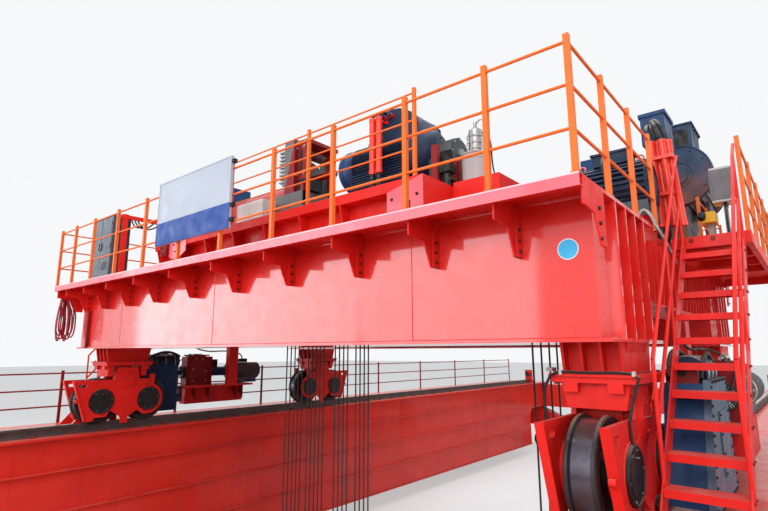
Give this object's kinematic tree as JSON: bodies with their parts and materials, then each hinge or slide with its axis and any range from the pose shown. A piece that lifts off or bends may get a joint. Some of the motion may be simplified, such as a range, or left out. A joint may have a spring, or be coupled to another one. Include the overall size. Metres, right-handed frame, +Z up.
{
  "type": "foundry overhead crane with hoist trolley",
  "caption": "Double-girder overhead crane for a foundry: deep box girders with rails, and a four-bogie hoist trolley with walkway, railings, hoists and stairs.",
  "frame": {"origin": "middle of the bridge in plan, level with the lowest point of the runway wheels", "axes": "+X along the girders toward the right-hand end, +Y across toward the far girder, +Z up"},
  "size_m": [29.8, 15.46, 8.38],
  "materials": {
    "far_girder": "glossy enamel",
    "near_girder": "glossy enamel",
    "trolley_rails": "worn bright head",
    "rail_stops": "glossy enamel",
    "end_beams": "glossy enamel",
    "runway_equalisers": "glossy enamel",
    "runway_bogies": "glossy enamel",
    "runway_wheels": "dark oiled iron",
    "far_girder_railing": "satin enamel",
    "near_girder_railing": "satin enamel",
    "front_beam": "glossy enamel",
    "front_platform": "glossy enamel",
    "front_railing": "satin enamel",
    "front_saddles": "glossy enamel",
    "rear_beam": "glossy enamel",
    "rear_platform": "glossy enamel",
    "rear_railing": "satin enamel",
    "rear_saddles": "glossy enamel",
    "far_front_bogie": "glossy enamel",
    "far_rear_bogie": "glossy enamel",
    "near_front_bogie": "glossy enamel",
    "near_rear_bogie": "glossy enamel",
    "far_ladder": "glossy enamel",
    "near_ladder": "glossy enamel",
    "far_travel_drive": "satin enamel",
    "near_travel_drive": "satin enamel",
    "deck": "glossy enamel",
    "deck_beams": "glossy enamel",
    "side_railings": "satin enamel",
    "raised_beam": "glossy enamel",
    "inner_railing": "satin enamel",
    "landings": "glossy enamel",
    "main_drums": "greased enamel",
    "drum_pedestals": "glossy enamel",
    "front_motor": "satin enamel",
    "side_motor": "satin enamel",
    "rear_motor": "satin enamel",
    "side_gearbox": "satin enamel",
    "front_gearbox": "satin enamel",
    "shaft_guard": "glossy enamel",
    "landing_devices": "satin enamel",
    "hoist_brakes": "satin enamel",
    "aux_hoist": "greased enamel",
    "hoist_ropes": "black greased strands",
    "upper_sheave_blocks": "glossy enamel",
    "hook_blocks": "glossy enamel",
    "control_cabinet": "satin enamel",
    "cable_portal": "glossy enamel",
    "control_box": "satin enamel",
    "grease_pump": "satin enamel",
    "conduits": "glossy enamel",
    "sign_board": "bare board",
    "far_front_wheel_a": "worn tread, oiled sides",
    "far_front_wheel_b": "worn tread, oiled sides",
    "far_rear_wheel_a": "worn tread, oiled sides",
    "far_rear_wheel_b": "worn tread, oiled sides",
    "near_front_wheel_a": "worn tread, oiled sides",
    "near_front_wheel_b": "worn tread, oiled sides",
    "near_rear_wheel_a": "worn tread, oiled sides",
    "near_rear_wheel_b": "worn tread, oiled sides"
  },
  "bodies": {
    "bridge": {"far_girder": "far_girder", "near_girder": "near_girder", "trolley_rails": "trolley_rails", "rail_stops": "rail_stops", "end_beams": "end_beams", "runway_equalisers": "runway_equalisers", "runway_bogies": "runway_bogies", "runway_wheels": "runway_wheels", "far_girder_railing": "far_girder_railing", "near_girder_railing": "near_girder_railing"},
    "trolley": {"front_beam": "front_beam", "front_platform": "front_platform", "front_railing": "front_railing", "front_saddles": "front_saddles", "rear_beam": "rear_beam", "rear_platform": "rear_platform", "rear_railing": "rear_railing", "rear_saddles": "rear_saddles", "far_front_bogie": "far_front_bogie", "far_rear_bogie": "far_rear_bogie", "near_front_bogie": "near_front_bogie", "near_rear_bogie": "near_rear_bogie", "far_ladder": "far_ladder", "near_ladder": "near_ladder", "far_travel_drive": "far_travel_drive", "near_travel_drive": "near_travel_drive", "deck": "deck", "deck_beams": "deck_beams", "side_railings": "side_railings", "raised_beam": "raised_beam", "inner_railing": "inner_railing", "landings": "landings", "main_drums": "main_drums", "drum_pedestals": "drum_pedestals", "front_motor": "front_motor", "side_motor": "side_motor", "rear_motor": "rear_motor", "side_gearbox": "side_gearbox", "front_gearbox": "front_gearbox", "shaft_guard": "shaft_guard", "landing_devices": "landing_devices", "hoist_brakes": "hoist_brakes", "aux_hoist": "aux_hoist", "hoist_ropes": "hoist_ropes", "upper_sheave_blocks": "upper_sheave_blocks", "hook_blocks": "hook_blocks", "control_cabinet": "control_cabinet", "cable_portal": "cable_portal", "control_box": "control_box", "grease_pump": "grease_pump", "conduits": "conduits", "sign_board": "sign_board"},
    "far_front_wheel_a_body": {"far_front_wheel_a": "far_front_wheel_a"},
    "far_front_wheel_b_body": {"far_front_wheel_b": "far_front_wheel_b"},
    "far_rear_wheel_a_body": {"far_rear_wheel_a": "far_rear_wheel_a"},
    "far_rear_wheel_b_body": {"far_rear_wheel_b": "far_rear_wheel_b"},
    "near_front_wheel_a_body": {"near_front_wheel_a": "near_front_wheel_a"},
    "near_front_wheel_b_body": {"near_front_wheel_b": "near_front_wheel_b"},
    "near_rear_wheel_a_body": {"near_rear_wheel_a": "near_rear_wheel_a"},
    "near_rear_wheel_b_body": {"near_rear_wheel_b": "near_rear_wheel_b"}
  },
  "joints": [
    {"name": "trolley_travel", "type": "slide", "parent": "bridge", "child": "trolley", "axis": [1, 0, 0], "range_m": [-5.6, 12.8]},
    {"name": "far_front_wheel_a_roll", "type": "hinge", "parent": "trolley", "child": "far_front_wheel_a_body", "pos_m": [-6.76, 4.8, 3.7653], "axis": [0, 1, 0], "continuous": true},
    {"name": "far_front_wheel_b_roll", "type": "hinge", "parent": "trolley", "child": "far_front_wheel_b_body", "pos_m": [-5.84, 4.8, 3.7653], "axis": [0, 1, 0], "continuous": true},
    {"name": "far_rear_wheel_a_roll", "type": "hinge", "parent": "trolley", "child": "far_rear_wheel_a_body", "pos_m": [-1.36, 4.8, 3.7653], "axis": [0, 1, 0], "continuous": true},
    {"name": "far_rear_wheel_b_roll", "type": "hinge", "parent": "trolley", "child": "far_rear_wheel_b_body", "pos_m": [-0.44, 4.8, 3.7653], "axis": [0, 1, 0], "continuous": true},
    {"name": "near_front_wheel_a_roll", "type": "hinge", "parent": "trolley", "child": "near_front_wheel_a_body", "pos_m": [-6.76, -4.8, 3.7653], "axis": [0, 1, 0], "continuous": true},
    {"name": "near_front_wheel_b_roll", "type": "hinge", "parent": "trolley", "child": "near_front_wheel_b_body", "pos_m": [-5.84, -4.8, 3.7653], "axis": [0, 1, 0], "continuous": true},
    {"name": "near_rear_wheel_a_roll", "type": "hinge", "parent": "trolley", "child": "near_rear_wheel_a_body", "pos_m": [-1.36, -4.8, 3.7653], "axis": [0, 1, 0], "continuous": true},
    {"name": "near_rear_wheel_b_roll", "type": "hinge", "parent": "trolley", "child": "near_rear_wheel_b_body", "pos_m": [-0.44, -4.8, 3.7653], "axis": [0, 1, 0], "continuous": true}
  ],
  "couplings": [
    {"joint": "far_front_wheel_a_roll", "follows": "trolley_travel", "rad_per_m": 2.5},
    {"joint": "far_front_wheel_b_roll", "follows": "trolley_travel", "rad_per_m": 2.5},
    {"joint": "far_rear_wheel_a_roll", "follows": "trolley_travel", "rad_per_m": 2.5},
    {"joint": "far_rear_wheel_b_roll", "follows": "trolley_travel", "rad_per_m": 2.5},
    {"joint": "near_front_wheel_a_roll", "follows": "trolley_travel", "rad_per_m": 2.5},
    {"joint": "near_front_wheel_b_roll", "follows": "trolley_travel", "rad_per_m": 2.5},
    {"joint": "near_rear_wheel_a_roll", "follows": "trolley_travel", "rad_per_m": 2.5},
    {"joint": "near_rear_wheel_b_roll", "follows": "trolley_travel", "rad_per_m": 2.5}
  ]
}
